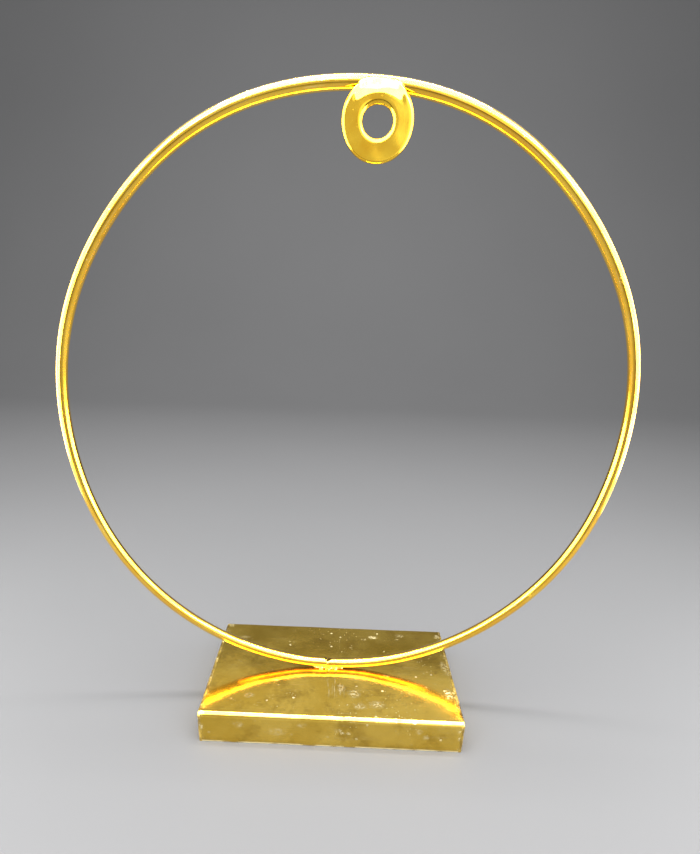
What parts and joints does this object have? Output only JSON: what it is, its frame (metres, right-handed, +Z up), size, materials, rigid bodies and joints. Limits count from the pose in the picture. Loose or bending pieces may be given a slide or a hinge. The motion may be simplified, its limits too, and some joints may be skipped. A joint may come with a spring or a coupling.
{
  "type": "wreath frame",
  "caption": "Free-standing round hoop of gold-plated bar on a folded sheet base, with a hanging eye at the top, for dressing with flowers and foliage.",
  "frame": {"origin": "middle of the base's underside, on the surface the frame stands on", "axes": "+Z up; +X along the base's long side and across the hoop, to the right seen from the front; +Y to the rear, so the hanging eye laps over the bar's front on the -Y side"},
  "size_m": [0.3, 0.1, 0.3203],
  "materials": {
    "gold_plating": "bright gold electroplating on mild steel, mirror-like with fine pits, specks and polishing scratches",
    "gold_plated_bead": "gold electroplating over weld metal, paler and rougher than the sheet and bar"
  },
  "bodies": {
    "root": {"hoop": "gold_plating", "hoop_seam_weld": "gold_plated_bead", "foot_weld_front": "gold_plated_bead", "foot_weld_rear": "gold_plated_bead", "hanging_eye": "gold_plating", "eye_weld": "gold_plated_bead", "base_channel": "gold_plating", "base_end_left": "gold_plating", "base_end_right": "gold_plating", "base_end_weld_left": "gold_plated_bead", "base_end_weld_right": "gold_plated_bead"}
  },
  "joints": []
}
